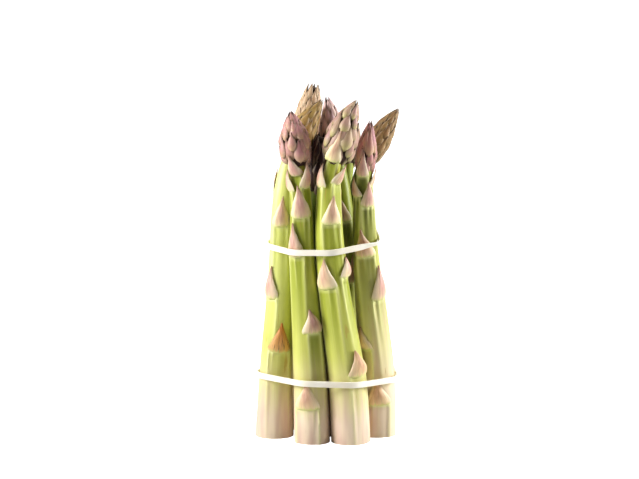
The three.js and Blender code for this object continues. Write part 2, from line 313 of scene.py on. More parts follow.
class Spear:
    """A spear's middle line and girth, as its CAD stalk and tip have them."""

    # Radius of a head from its neck to its point, as shares of its widest.
    HEAD_OUTLINE = (0.60, 0.83, 0.96, 1.0, 0.96, 0.87, 0.76, 0.62, 0.46, 0.27, 0.04)

    def __init__(self, name):
        self.name = name
        self.look = LOOKS[name]
        stalk = node_triangles(f"{name}_stalk")
        tip = node_triangles(f"{name}_tip")
        neck = stalk[..., 2].max()
        top = tip.reshape(-1, 3)[tip[..., 2].argmax()]
        line = self.sections(stalk, 0.0006, neck - 3 * MM)
        line += self.sections(tip, neck + 5 * MM, top[2] - 5 * MM) + [top]
        self.line = self.smoothed(np.array(line))
        self.reach = self.lengths(self.line)
        found = np.array([self.locate(p)[:2] for p in corners_of(stalk)])
        found = found[(found[:, 1] > 2 * MM)]
        self.girth = np.polyfit(found[:, 0], found[:, 1], 4)
        self.neck = found[:, 0].max()
        self.top = self.reach[-1]
        self.head_length = self.top - self.neck
        widest = max(self.locate(p)[1] for p in corners_of(tip))
        self.head_width = widest * self.look["swell"]
        self.turn = self.measure_turn()

    @staticmethod
    def sections(triangles, low, high):
        heights = np.linspace(low, high, max(3, round((high - low) / LINE_STEP)))
        return [middle_of(section(triangles, h)) for h in heights]

    @staticmethod
    def smoothed(line):
        """A line whose inner points are moved towards their neighbours a few times."""
        for _ in range(3):
            line[1:-1] = (line[:-2] + 2 * line[1:-1] + line[2:]) / 4
        return line

    @staticmethod
    def lengths(line):
        steps = np.linalg.norm(np.diff(line, axis=0), axis=1)
        return np.concatenate([[0], np.cumsum(steps)])

    def at(self, reach):
        """The point on the middle line at a reach."""
        return np.array([np.interp(reach, self.reach, self.line[:, i]) for i in range(3)])

    def locate(self, point):
        """(reach, distance from the line, direction from the line) of a point."""
        start, end = self.line[:-1], self.line[1:]
        along = end - start
        share = np.clip(((point - start) * along).sum(1) / (along**2).sum(1), 0, 1)
        feet = start + share[:, None] * along
        gaps = np.linalg.norm(point - feet, axis=1)
        i = gaps.argmin()
        away = point - feet[i]
        reach = self.reach[i] + share[i] * (self.reach[i + 1] - self.reach[i])
        return reach, gaps[i], math.atan2(away[1], away[0])

    def radius(self, reach):
        """The stalk's radius. It steps in at the last leaves, to a waist under the head."""
        girth = float(np.polyval(self.girth, min(max(reach, 0.0), self.neck)))
        start, share = self.look["waist"]
        inwards = min(max((reach - start * MM) / (5 * MM), 0.0), 1.0)
        return girth * (1 - share * inwards)

    def head_radius(self, share):
        """The head's radius at a share of its length."""
        steps = np.linspace(0, 1, len(self.HEAD_OUTLINE))
        cut = share * (1 - self.look["blunt"])
        return self.head_width * float(np.interp(cut, steps, self.HEAD_OUTLINE))

    def skin(self, reach):
        """The radius of the stalk or, above the neck, of the head."""
        if reach < self.neck:
            return self.radius(reach)
        return self.head_radius((reach - self.neck) / self.head_length)

    def leaves(self):
        """Its scale leaves, where and as large as the CAD has them."""
        placed = []
        for node in sorted(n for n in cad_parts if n.startswith(f"{self.name}_scale_")):
            found = np.array([self.locate(p) for p in corners_of(node_triangles(node))])
            reaches, directions = found[:, 0], found[:, 2]
            facing = math.atan2(np.sin(directions).mean(), np.cos(directions).mean())
            angle = 2 * angle_between(directions, facing).max()
            start = reaches.min()
            placed.append(Leaf(node, start, facing, reaches.max() - start, angle))
        return placed

    def curve(self):
        """The curve that the straight spear is bent along. It starts below the butt's cut."""
        down = self.line[0] - self.line[1]
        below = self.line[0] + down / np.linalg.norm(down) * ROOT
        up = self.line[-1] - self.line[-2]
        beyond = self.line[-1] + up / np.linalg.norm(up) * ROOT
        inner = [self.at(reach) for reach in np.linspace(0, self.top, 64)]
        return poly_curve(f"{self.name}_line", [below, *inner, beyond])

    def measure_turn(self):
        """How far bending turns the spear about its own line, found by a mark that faces +X."""
        deselect()
        bpy.ops.mesh.primitive_plane_add(size=MM, location=(10 * MM, 0, ROOT + self.top * 0.3))
        mark = named("mark")
        settle(mark)
        bend_along(mark, self)
        turn = self.locate(places(mark).mean(axis=0))[2]
        discard(mark)
        return turn


@functools.lru_cache(maxsize=None)
def spear_of(name):
    return Spear(name)


# ---------------------------------------------------------------- working by hand


def deselect():
    bpy.ops.object.select_all(action="DESELECT")


def only(*objects):
    """Makes these the selected objects, and the first of them the active one."""
    deselect()
    for each in objects:
        each.select_set(True)
    bpy.context.view_layer.objects.active = objects[0]


def named(name):
    """Names the object just added, and its mesh."""
    made = bpy.context.object
    made.name = name
    made.data.name = name
    return made


def settle(*objects):
    """Applies the place, turn and size of objects to their meshes."""
    only(*objects)
    bpy.ops.object.transform_apply(location=True, rotation=True, scale=True)


def edit(obj):
    only(obj)
    bpy.ops.object.mode_set(mode="EDIT")


def done():
    bpy.ops.object.mode_set(mode="OBJECT")


def pick(obj, vertices=None, edges=None, faces=None):
    """In edit mode, selects only the elements that a test on one of them is true for."""
    mesh = bmesh.from_edit_mesh(obj.data)
    for sequence in (mesh.verts, mesh.edges, mesh.faces):
        for element in sequence:
            element.select = False
    for sequence, test in ((mesh.verts, vertices), (mesh.edges, edges), (mesh.faces, faces)):
        for element in sequence if test else ():
            if test(element):
                element.select_set(True)
    if vertices:
        mesh.select_flush(True)
    bmesh.update_edit_mesh(obj.data)


def apply_modifier(obj, kind, **settings):
    only(obj)
    modifier = obj.modifiers.new(kind.lower(), kind)
    for key, value in settings.items():
        setattr(modifier, key, value)
    bpy.ops.object.modifier_apply(modifier=modifier.name)


def push(obj, group, strength, direction="NORMAL"):
    """Moves the vertices of a group one way, each by its weight's share of the strength."""
    apply_modifier(
        obj, "DISPLACE", vertex_group=group, strength=strength, direction=direction, mid_level=0
    )


def weigh(obj, name, weights):
    """Paints a vertex group with a weight for each vertex."""
    group = obj.vertex_groups.new(name=name)
    for i, weight in enumerate(weights):
        if weight > 0.004:
            group.add([i], min(float(weight), 1.0), "REPLACE")


def store(obj, name, values):
    """Keeps a number for each vertex, for the material to read."""
    attribute = obj.data.attributes.new(name, "FLOAT", "POINT")
    attribute.data.foreach_set("value", np.asarray(values, dtype=np.float32))


def smooth(obj, degrees=None):
    only(obj)
    if degrees is None:
        bpy.ops.object.shade_smooth()
    else:
        bpy.ops.object.shade_smooth_by_angle(angle=math.radians(degrees))


def copy_of(master, name):
    """A copy of a modelled piece, with a mesh of its own."""
    made = master.copy()
    made.data = master.data.copy()
    made.name = name
    made.data.name = name
    bpy.context.collection.objects.link(made)
    return made


def join(objects, name):
    only(*objects)
    if len(objects) > 1:
        bpy.ops.object.join()
    return named(name)


def discard(*objects):
    for each in objects:
        bpy.data.objects.remove(each)


def places(obj):
    return np.array([v.co[:] for v in obj.data.vertices])


# ---------------------------------------------------------------- bending


def poly_curve(name, points, tilts=None, closed=False):
    curve = bpy.data.curves.new(name, "CURVE")
    curve.dimensions = "3D"
    curve.twist_mode = "Z_UP" if closed else "MINIMUM"
    spline = curve.splines.new("POLY")
    spline.points.add(len(points) - 1)
    for i, place in enumerate(points):
        spline.points[i].co = (*place, 1)
        spline.points[i].tilt = tilts[i] if tilts is not None else 0.0
    spline.use_cyclic_u = closed
    made = bpy.data.objects.new(name, curve)
    bpy.context.collection.objects.link(made)
    return made


def bend_along(obj, spear):
    """Bends a straight, upright piece along a spear's middle line."""
    curve = spear.curve()
    apply_modifier(obj, "CURVE", object=curve, deform_axis="POS_Z")
    discard(curve)


# ---------------------------------------------------------------- materials


def colour_of(value):
    """RGBA of a hex colour, a grey level or a setting. A node's output stays as it is."""
    if isinstance(value, bpy.types.NodeSocket):
        return value
    if isinstance(value, str):
        value = linear(value)
    elif isinstance(value, (int, float)):
        value = (value, value, value)
    return (*value, 1)


def add(tree, kind, inputs=None, stops=None, **settings):
    """Adds a node, sets it up, and links each input that is another node's output."""
    node = tree.nodes.new(kind)
    for key, value in settings.items():
        setattr(node, key, value)
    for key, value in (inputs or {}).items():
        if isinstance(value, bpy.types.NodeSocket):
            tree.links.new(value, node.inputs[key])
        else:
            node.inputs[key].default_value = value
    if stops:
        elements = node.color_ramp.elements
        while len(elements) < len(stops):
            elements.new(0.5)
        for element, (position, colour) in zip(elements, stops):
            element.position = position
            element.color = colour_of(colour)
    return node


def new_material(name):
    material = bpy.data.materials.new(name)
    material.use_nodes = True
    material.node_tree.nodes.clear()
    return material


def finish_material(material, inputs, flesh=(), sheen=()):
    """Ends a material in one shader. flesh is how light scatters in it, and sheen its bloom."""
    tree = material.node_tree
    scatter = ("Subsurface Weight", "Subsurface Radius", "Subsurface Scale")
    inputs.update(zip(scatter, flesh))
    inputs.update(zip(("Sheen Weight", "Sheen Roughness"), sheen))
    shader = add(tree, "ShaderNodeBsdfPrincipled", inputs)
    add(tree, "ShaderNodeOutputMaterial", {"Surface": shader.outputs["BSDF"]})
    return material


def mixed(tree, share, first, second):
    """The colour that is a share of the way from the first to the second."""
    inputs = {0: share, 6: colour_of(first), 7: colour_of(second)}
    return add(tree, "ShaderNodeMix", inputs, data_type="RGBA").outputs[2]


def stripes(tree, across, along, detail=3.0, seed=0.0):
    """Noise drawn out along a spear: across and along are streaks to the turn and to the length."""
    uv = add(tree, "ShaderNodeUVMap", uv_map="UVMap")
    stretched = add(
        tree,
        "ShaderNodeMapping",
        {"Vector": uv.outputs["UV"], "Scale": (across, along, 1), "Location": (seed, seed * 1.7, seed)},
    )
    noise = add(
        tree,
        "ShaderNodeTexNoise",
        {"Vector": stretched.outputs["Vector"], "Scale": 1.0, "Detail": detail, "Roughness": 0.55},
    )
    return noise.outputs["Fac"]


def attribute(tree, name):
    return add(tree, "ShaderNodeAttribute", attribute_name=name).outputs["Fac"]


def calculate(tree, operation, *values, clamp=False):
    """What a math node makes of two or three values."""
    inputs = dict(enumerate(values))
    return add(tree, "ShaderNodeMath", inputs, operation=operation, use_clamp=clamp).outputs[0]


def bumped(tree, height, distance, strength=1.0):
    """A normal tilted by a height, which is distance metres deep where it goes from 0 to 1."""
    inputs = {"Height": height, "Distance": distance, "Strength": strength}
    return add(tree, "ShaderNodeBump", inputs).outputs["Normal"]


def noise_of(tree, scale, detail=2.0):
    """Noise in the object's own space, with scale patches to a metre."""
    place = add(tree, "ShaderNodeTexCoord").outputs["Object"]
    inputs = {"Vector": place, "Scale": scale, "Detail": detail}
    return add(tree, "ShaderNodeTexNoise", inputs).outputs["Fac"]


def ramp(tree, factor, stops):
    return add(tree, "ShaderNodeValToRGB", {"Fac": factor}, stops=stops).outputs["Color"]


def height_of(tree):
    place = add(tree, "ShaderNodeTexCoord")
    return add(tree, "ShaderNodeSeparateXYZ", {0: place.outputs["Object"]}).outputs["Z"]


def stalk_skin(settings, spear):
    """Waxy skin of an asparagus stalk, grown green above ground and cream below it.

    The eye gets a soft satin gleam with a pale bloom towards the edges, fine streaks
    along the stalk, painted shade on the flat sides between the ridges, a painted
    highlight along the ridges, pale rims at the nodes, and a butt that fades through
    yellow to cream with pink streaks.
    """
    look = spear.look
    seed = list(LOOKS).index(spear.name) * 3.1
    material = new_material(f"asparagus_skin_{spear.name}")
    tree = material.node_tree
    streak = stripes(tree, 26, 3, seed=seed)  # streaks about 2 mm apart round a 20 mm stalk
    fine = stripes(tree, 90, 5, detail=2.0, seed=seed)  # fibres about 0.7 mm apart
    broad = stripes(tree, 9, 7, detail=2.0, seed=seed + 5)  # stains about 7 mm wide
    wander = calculate(tree, "MULTIPLY_ADD", streak, 0.020, -0.010)
    height = calculate(tree, "ADD", height_of(tree), wander)
    share = calculate(tree, "DIVIDE", height, PALE_SPAN)
    green, shade = look["green"], look["shade"]
    pale = look["pale"] / PALE_SPAN
    body = ramp(
        tree,
        share,
        [
            (0.0, settings.butt),
            (pale * 0.4, settings.butt),
            (pale * 0.85, "#ddd39c"),
            (pale * 1.6, "#c6c76a"),
            (pale * 2.8, green),
        ],
    )
    grown = ramp(tree, share, [(pale * 0.5, 0), (pale * 2.2, 0.85)])
    # Painted shade: the flat sides between the ridges are darkened towards the shade green.
    painted_flat_shade = calculate(tree, "MULTIPLY", attribute(tree, "flat"), grown)
    body = mixed(tree, painted_flat_shade, body, shade)
    near_butt = ramp(tree, share, [(0.0, 1), (pale * 1.7, 0)])
    blush_streak = ramp(tree, broad, [(0.42, 0), (0.66, 0.6)])
    blush = calculate(tree, "MULTIPLY", near_butt, blush_streak)
    body = mixed(tree, blush, body, settings.blush)
    dark = ramp(tree, streak, [(0.30, 0.30), (0.55, 0)])
    dark = calculate(tree, "MULTIPLY", dark, grown)
    body = mixed(tree, dark, body, shade)
    light = ramp(tree, fine, [(0.52, 0), (0.78, 0.12)])
    body = mixed(tree, light, body, settings.rim)
    # Painted highlight along the ridges, and the pale rim that the nodes really have.
    body = mixed(tree, attribute(tree, "painted_ridge_light_node_rim"), body, settings.rim)
    marks = stripes(tree, 15, 11, detail=5.0, seed=seed + 9)
    scuff = ramp(tree, marks, [(0.66, 0), (0.72, 0.5)])
    body = mixed(tree, scuff, body, "#b18b4c")
    grain = calculate(tree, "ADD", streak, fine)
    gleam = ramp(tree, streak, [(0.3, 0.34), (0.7, 0.48)])
    return finish_material(
        material,
        {
            "Base Color": body,
            "Roughness": gleam,
            "Normal": bumped(tree, grain, 0.12 * MM, 0.5),
            "IOR": 1.45,
        },
        flesh=(0.08, (1.0, 1.0, 0.4), 1.0 * MM),
        sheen=(0.3, 0.35),
    )


def cut_butt():
    """Fresh cut across the stalks: wet cream flesh, dotted with the ends of its fibres."""
    material = new_material("cut_asparagus_butt")
    tree = material.node_tree
    place = add(tree, "ShaderNodeTexCoord")
    fibres = add(  # fibre bundles about 1.1 mm apart
        tree, "ShaderNodeTexVoronoi", {"Vector": place.outputs["Object"], "Scale": 900.0}
    )
    flesh = ramp(tree, noise_of(tree, 260.0, 3.0), [(0.35, "#e9e3bb"), (0.65, "#d3cd96")])
    dot = ramp(tree, fibres.outputs["Distance"], [(0.12, 0.7), (0.26, 0)])
    colour = mixed(tree, dot, flesh, "#a89a5c")
    normal = bumped(tree, fibres.outputs["Distance"], 0.1 * MM)
    return finish_material(
        material, {"Base Color": colour, "Roughness": 0.42, "Normal": normal, "IOR": 1.4}
    )


def scale_leaf_skin(settings):
    """Papery scale leaf, mauve or tan, green at its base and pale along its margins.

    The eye gets thin dry tissue with faint veins that run to the point, browner and
    split by dark cracks where it has withered.
    """
    material = new_material("papery_scale_leaf")
    tree = material.node_tree
    veins = stripes(tree, 24, 1.4, detail=4.0)  # veins about 0.7 mm apart
    across = attribute(tree, "across")
    along = attribute(tree, "along")
    dry = attribute(tree, "dry")
    tone = attribute(tree, "tone")
    wander = calculate(tree, "MULTIPLY_ADD", veins, 0.36, -0.18)
    shifted = calculate(tree, "ADD", along, wander)
    blotch = stripes(tree, 3, 1.1, detail=3.0, seed=3.0)  # patches about 4 mm wide
    patchy = calculate(tree, "MULTIPLY_ADD", blotch, 2.4, -1.2)
    tanned = calculate(tree, "ADD", tone, patchy, clamp=True)
    middle = mixed(tree, tanned, settings.mauve, settings.tan)
    vein = ramp(tree, veins, [(0.40, 0), (0.68, 0.55)])
    middle = mixed(tree, vein, middle, settings.margin)
    folds = stripes(tree, 9, 1.2, detail=3.0, seed=6.0)
    broad = ramp(tree, folds, [(0.36, 0.55), (0.52, 0)])
    middle = mixed(tree, broad, middle, "#94695a")
    creamy = ramp(tree, shifted, [(0.10, 0.9), (0.50, 0)])
    older = calculate(tree, "MULTIPLY_ADD", tone, 0.7, 0.3)
    cream = calculate(tree, "MULTIPLY", creamy, older)
    colour = mixed(tree, cream, middle, "#e9d6a8")
    heart = ramp(
        tree, shifted, [(0.10, 0), (0.32, 0.45), (0.50, 0.2), (0.7, 0)]
    )
    inner = ramp(tree, across, [(0.10, 1), (0.55, 0)])
    heart = calculate(tree, "MULTIPLY", heart, inner)
    colour = mixed(tree, heart, colour, "#a9726c")
    edge = ramp(tree, across, [(0.42, 0), (0.95, 0.85)])
    colour = mixed(tree, edge, colour, settings.margin)
    point = ramp(tree, shifted, [(0.62, 0), (0.98, 0.65)])
    colour = mixed(tree, point, colour, "#94695a")
    browned = ramp(tree, shifted, [(0.1, 0), (0.8, 1)])
    withered = mixed(tree, browned, "#d3a566", settings.dry)
    crack = ramp(tree, veins, [(0.38, 1), (0.44, 0)])
    withered = mixed(tree, crack, withered, "#5b3313")
    colour = mixed(tree, dry, colour, withered)
    rim = ramp(tree, shifted, [(0.0, 1), (0.12, 0)])
    colour = mixed(tree, rim, colour, settings.base)
    return finish_material(
        material,
        {
            "Base Color": colour,
            "Roughness": 0.55,
            "Normal": bumped(tree, veins, 0.15 * MM, 0.5),
            "IOR": 1.42,
        },
        flesh=(0.08, (1.0, 0.7, 0.5), 0.8 * MM),
        sheen=(0.15, 0.4),
    )


def head_scale_skin(spear):
    """Packed scales of an asparagus head: satin mauve or tan, paler at the base.

    The eye gets plump overlapping scales, each coloured from a pale base to a dark
    point, with a fine pale margin, and painted shade in the clefts between them.
    """
    base, middle, point = spear.look["head"]
    material = new_material(f"asparagus_head_{spear.name}")
    tree = material.node_tree
    veins = stripes(tree, 14, 1.2, detail=4.0)
    wander = calculate(tree, "MULTIPLY_ADD", veins, 0.4, -0.2)
    along = calculate(tree, "ADD", attribute(tree, "along"), wander)
    colour = ramp(tree, along, [(0.10, base), (0.45, middle), (0.66, middle), (0.95, point)])
    lighter = calculate(tree, "MULTIPLY", attribute(tree, "tone"), 0.40)
    colour = mixed(tree, lighter, colour, base)
    vein = ramp(tree, veins, [(0.35, 0.35), (0.52, 0)])
    colour = mixed(tree, vein, colour, point)
    edge = ramp(tree, attribute(tree, "across"), [(0.50, 0), (0.75, 0.35)])
    colour = mixed(tree, edge, colour, "#dcc7ac")
    # Painted shade: the clefts, the covered bases and inner sides of the scales, and the core are
    # darkened to near black.
    colour = mixed(tree, attribute(tree, "painted_cleft_shade"), colour, "#34210f")
    return finish_material(
        material,
        {
            "Base Color": colour,
            "Roughness": 0.46,
            "Normal": bumped(tree, veins, 0.12 * MM, 0.5),
            "IOR": 1.42,
        },
        flesh=(0.06, (1.0, 0.6, 0.5), 0.6 * MM),
        sheen=(0.12, 0.4),
    )


def natural_rubber(settings):
    """Natural rubber band, extruded as a tube and sliced: cream, matt, a little chalky."""
    material = new_material("natural_rubber_band")
    tree = material.node_tree
    chalk = noise_of(tree, 700.0, 4.0)
    cloud = ramp(tree, noise_of(tree, 90.0), [(0.4, 0), (0.7, 0.5)])
    colour = mixed(tree, cloud, settings.rubber, "#ece2c8")
    return finish_material(
        material,
        {
            "Base Color": colour,
            "Roughness": 0.5,
            "Normal": bumped(tree, chalk, 0.04 * MM, 0.5),
            "IOR": 1.52,
        },
        flesh=(0.1, (1.0, 0.9, 0.7), 0.6 * MM),
    )


def studio_floor(settings):
    """Opal acrylic table, lit from under: it looks white, and throws back over half the light."""
    material = new_material("lit_opal_acrylic")
    tree = material.node_tree
    colour = mixed(tree, noise_of(tree, 12.0), settings.floor, "#d0d0d0")
    seen = add(tree, "ShaderNodeLightPath")
    return finish_material(
        material,
        {
            "Base Color": colour,
            "Roughness": 0.7,
            "Emission Color": (1, 1, 1, 1),
            "Emission Strength": seen.outputs["Is Camera Ray"],
        },
    )


# ---------------------------------------------------------------- stalks


def stalk_blank(spear, settings):
    """A cylinder, brought row by row to the spear's girth."""
    length = ROOT + spear.neck + NECK_LAP
    deselect()
    bpy.ops.mesh.primitive_cylinder_add(
        vertices=settings.sides, radius=BLANK_RADIUS, depth=length, location=(0, 0, length / 2)
    )
    stalk = named(f"{spear.name}_grown_stalk")
    settle(stalk)
    upright = lambda e: abs(e.verts[0].co.z - e.verts[1].co.z) > 0.1 * MM
    edit(stalk)
    pick(stalk, edges=upright)
    bpy.ops.mesh.subdivide(number_cuts=settings.rows - 1)
    for row in range(settings.rows + 1):
        z = length * row / settings.rows
        pick(stalk, vertices=lambda v: abs(v.co.z - z) < 0.1 * MM)
        size = spear.radius(z - ROOT) / BLANK_RADIUS
        bpy.ops.transform.resize(value=(size, size, 1), center_override=(0, 0, z))
    pick(stalk, edges=upright)
    bpy.ops.mesh.subdivide(number_cuts=5)
    done()
    return stalk


def relief(spear, stalk):
    """How much of a ridge, a flat side and a swelling is at each vertex.

    Two ridges run down from the corners of each leaf, with a flat side between them.
    """
    at = places(stalk)
    reach = at[:, 2] - ROOT
    facing = np.arctan2(at[:, 1], at[:, 0]) + spear.turn
    radius = np.hypot(at[:, 0], at[:, 1])
    ridges, flats, nodes = (np.zeros(len(at)) for _ in range(3))
    for leaf in spear.leaves():
        below = leaf.start - reach
        run = 6.5 * spear.radius(leaf.start)
        fade = np.where(below > -MM, np.clip(1 - below / run, 0, 1), 0)
        off = angle_between(facing, leaf.facing)
        half = leaf.angle / 2 * (0.94 - 0.2 * np.clip(below / run, 0, 1))
        ridge = np.exp(-(((off - half) * radius / (0.8 * MM)) ** 2)) * fade**0.6
        flat = np.clip((half - off) * radius / (2 * MM), 0, 1) * fade**0.8
        node = np.exp(-(((below - 0.3 * MM) / (1.1 * MM)) ** 2)) * (off < half)
        ridges = np.maximum(ridges, ridge)
        flats = np.maximum(flats, flat)
        nodes = np.maximum(nodes, node)
    return ridges, flats, nodes


def make_stalk(spear, settings, skin, cut):
    stalk = stalk_blank(spear, settings)
    ridges, flats, nodes = relief(spear, stalk)
    weigh(stalk, "ridges", ridges)
    weigh(stalk, "flats", flats * (1 - ridges))
    weigh(stalk, "nodes", nodes)
    # Painted highlight along the ridges, and the real pale rim at each node.
    store(stalk, "painted_ridge_light_node_rim", np.clip(ridges**1.6 * 0.75 + nodes * 0.8, 0, 0.85))
    # Where painted shade darkens the flat sides between the ridges.
    store(stalk, "flat", flats * (1 - ridges) * 0.8)
    push(stalk, "ridges", settings.ridge)
    push(stalk, "flats", -settings.flat)
    push(stalk, "nodes", settings.node)
    stalk.vertex_groups.clear()
    bend_along(stalk, spear)
    edit(stalk)
    bpy.ops.mesh.select_all(action="SELECT")
    bpy.ops.mesh.bisect(plane_co=(0, 0, 0), plane_no=(0, 0, 1), use_fill=True, clear_inner=True)
    pick(stalk, faces=lambda f: f.normal.z < -0.99 and f.calc_center_median().z < 0.01 * MM)
    bpy.ops.mesh.inset(thickness=0.4 * MM)
    done()
    stalk.data.materials.append(skin)
    stalk.data.materials.append(cut)
    for face in stalk.data.polygons:
        face.material_index = int(face.normal.z < -0.99 and face.center.z < 0.01 * MM)
    smooth(stalk, 50)
    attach(stalk, BODY)
    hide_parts(f"{spear.name}_stalk")


# ---------------------------------------------------------------- scale leaves

# A scale leaf from its base to its point: half its width, as shares of its base, and
# how far its middle stands off the stalk, as shares of the stalk's radius.
LEAF_ROWS = (
    (1.0, -0.03), (1.0, 0.06), (0.94, 0.10), (0.83, 0.115), (0.71, 0.12), (0.59, 0.115),
    (0.475, 0.105), (0.365, 0.09), (0.26, 0.075), (0.17, 0.055), (0.09, 0.035), (0.015, 0.02),
)
LEAF_COLUMNS = 12
LEAF_LIFT = 0.15 * MM  # how far a leaf's margin stands off the stalk
HEAD_LIFT = 0.8 * MM  # the same for a leaf that lies over the scales of a head
LEAF_STAND = 0.12  # the largest distance in LEAF_ROWS
MOST_TILT = 0.34  # the most that a leaf leans off its stalk, in radians, before chance
LEAST_TILT = -0.02  # the most that it leans in, as a negative lean
# How much wider than in the CAD a leaf is, where its edges press against a neighbour.
LEAF_SPREAD = {
    "front_left_scale_2": 1.7,
    "front_left_scale_4": 1.25,
    "left_scale_3": 1.15,
    "right_scale_4": 1.15,
    "front_left_scale_5": 1.35,
    "front_left_scale_6": 1.35,
    "front_left_scale_7": 1.25,
    "front_right_scale_5": 1.4,
    "front_right_scale_6": 1.35,
    "front_right_scale_7": 0.74,
    "right_scale_6": 1.3,
    "right_scale_7": 1.3,
}


def leaf_master(settings):
    """A flat scale leaf, 1 wide and 1 long, facing -Y. Distances off it are shares of a radius."""
    rows = len(LEAF_ROWS) - 1
    deselect()
    bpy.ops.mesh.primitive_grid_add(x_subdivisions=LEAF_COLUMNS, y_subdivisions=rows, size=1)
    leaf = named("leaf_master")
    leaf.rotation_euler = (math.pi / 2, 0, 0)
    leaf.location = (0, 0, 0.5)
    settle(leaf)
    flat = places(leaf)
    along, across = flat[:, 2], np.abs(flat[:, 0]) * 2
    store(leaf, "along", along)
    store(leaf, "across", across)
    stands = np.interp(along, np.linspace(0, 1, rows + 1), [stand for _, stand in LEAF_ROWS])
    weigh(leaf, "stand", np.maximum(stands, 0) * (1 - 0.85 * across**3) / LEAF_STAND)
    weigh(leaf, "root", np.clip(-stands / 0.03, 0, 1))
    weigh(leaf, "base", (1 - across**2) * np.clip(1 - along / 0.25, 0, 1))
    weigh(leaf, "thick", (1 - 0.75 * across**2) * (1 - 0.5 * along))
    weigh(leaf, "lean", along**1.5)
    edit(leaf)
    for row, (share, _) in enumerate(LEAF_ROWS):
        z = row / rows
        pick(leaf, vertices=lambda v: abs(v.co.z - z) < 0.01)
        bpy.ops.transform.resize(value=(share, 1, 1), center_override=(0, 0, z))
    done()
    push(leaf, "stand", -LEAF_STAND - settings.bulge, "Y")
    push(leaf, "root", 0.03, "Y")
    push(leaf, "base", -0.02, "Z")
    return leaf


def wrap_leaf(leaf, angle, settings, dice):
    """Roughens a flat leaf, wraps it round a stalk of radius 1, and makes it thick."""
    lean = dice.uniform(-settings.lean, settings.lean)
    push(leaf, "lean", lean, "X")
    edit(leaf)
    bpy.ops.mesh.select_all(action="SELECT")
    bpy.ops.transform.vertex_random(
        offset=settings.roughness, uniform=1.0, seed=dice.randrange(1000)
    )
    done()
    leaf.scale = (angle, 1, 1)
    settle(leaf)
    apply_modifier(leaf, "SIMPLE_DEFORM", deform_method="BEND", deform_axis="Z", angle=angle)
    leaf.location = (0, -1, 0)
    settle(leaf)
    apply_modifier(
        leaf,
        "SOLIDIFY",
        thickness=settings.thickness / BLANK_RADIUS,
        offset=1,
        use_rim=True,
        vertex_group="thick",
        thickness_vertex_group=0.1,
    )
    leaf.vertex_groups.clear()
    apply_modifier(leaf, "SUBSURF", levels=1, render_levels=1)
    smooth(leaf)


def tone_of(node, chance):
    """How tan and how withered a scale leaf is. The chance says so where no table does."""
    spear, number = node.split("_scale_")
    tones = LEAF_TONES.get(spear, ())
    listed = tones[int(number) - 1] if int(number) <= len(tones) else None
    return listed or (chance, 0.0)


def make_leaf(spear, place, master, settings, skin, dice):
    """Sets a copy of the master against the straight spear, then bends it along."""
    leaf = copy_of(master, place.node.replace("_scale_", "_leaf_"))
    wrap_leaf(leaf, place.angle * LEAF_SPREAD.get(place.node, 1.0), settings, dice)
    lift = HEAD_LIFT if place.start > spear.neck - HEAD_LIFT * 4 else LEAF_LIFT
    base = spear.skin(place.start) + lift
    end = spear.skin(place.start + place.length) + lift
    leaf.scale = (base, base, place.length)
    leaf.location = (0, 0, ROOT + place.start)
    leaf.rotation_euler = (
        min(max((end - base) / place.length, LEAST_TILT), MOST_TILT) + dice.uniform(0.0, 0.03),
        dice.uniform(-0.05, 0.05),
        place.facing - spear.turn + math.pi / 2,
    )
    settle(leaf)
    count = len(leaf.data.vertices)
    tone, dry = tone_of(place.node, dice.uniform(0.1, 0.9))
    store(leaf, "tone", [tone] * count)
    store(leaf, "dry", [dry] * count)
    bend_along(leaf, spear)
    leaf.data.materials.append(skin)
    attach(leaf, BODY)
    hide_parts(place.node)


# ---------------------------------------------------------------- heads

# Half width of one packed scale from its base to its point, as shares of its widest.
BUD_OUTLINE = (0.0, 0.60, 0.93, 1.0, 0.88, 0.66, 0.41, 0.18, 0.0)
BUD_SIDES = 10
# A scale of the spiral is left out where its start is nearer than this to a scale that
# shows best, both as a share of the head's length and in radians round it.
CLEAR_SHARE = 0.08
CLEAR_TURN = 0.40


def bud_master():
    """One plump packed scale, of length 1 and width 1, facing -Y, with its base at the origin."""
    rings = len(BUD_OUTLINE) - 1
    deselect()
    bpy.ops.mesh.primitive_uv_sphere_add(
        segments=BUD_SIDES, ring_count=rings, radius=0.5, location=(0, 0, 0.5)
    )
    bud = named("bud_master")
    settle(bud)
    edit(bud)
    for row in range(1, rings):
        old = 0.5 - 0.5 * math.cos(math.pi * row / rings)
        pick(bud, vertices=lambda v: abs(v.co.z - old) < 0.01)
        size = BUD_OUTLINE[row] / math.sin(math.pi * row / rings)
        bpy.ops.transform.resize(value=(size, size * 0.45, 1), center_override=(0, 0, old))
        bpy.ops.transform.translate(value=(0, 0, row / rings - old + 2))
    pick(bud, vertices=lambda v: v.co.z > 1.5)
    bpy.ops.transform.translate(value=(0, 0, -2))
    done()
    at = places(bud)
    half = np.interp(at[:, 2], np.linspace(0, 1, rings + 1), BUD_OUTLINE) / 2
    across = np.abs(at[:, 0]) / np.maximum(half, 0.01)
    store(bud, "along", at[:, 2])
    store(bud, "across", np.clip(across, 0, 1))
    weigh(bud, "keel", np.clip(1 - across * 2, 0, 1) * (at[:, 1] < 0) * half * 2)
    push(bud, "keel", -0.10, "Y")
    bud.vertex_groups.clear()
    smooth(bud)
    return bud


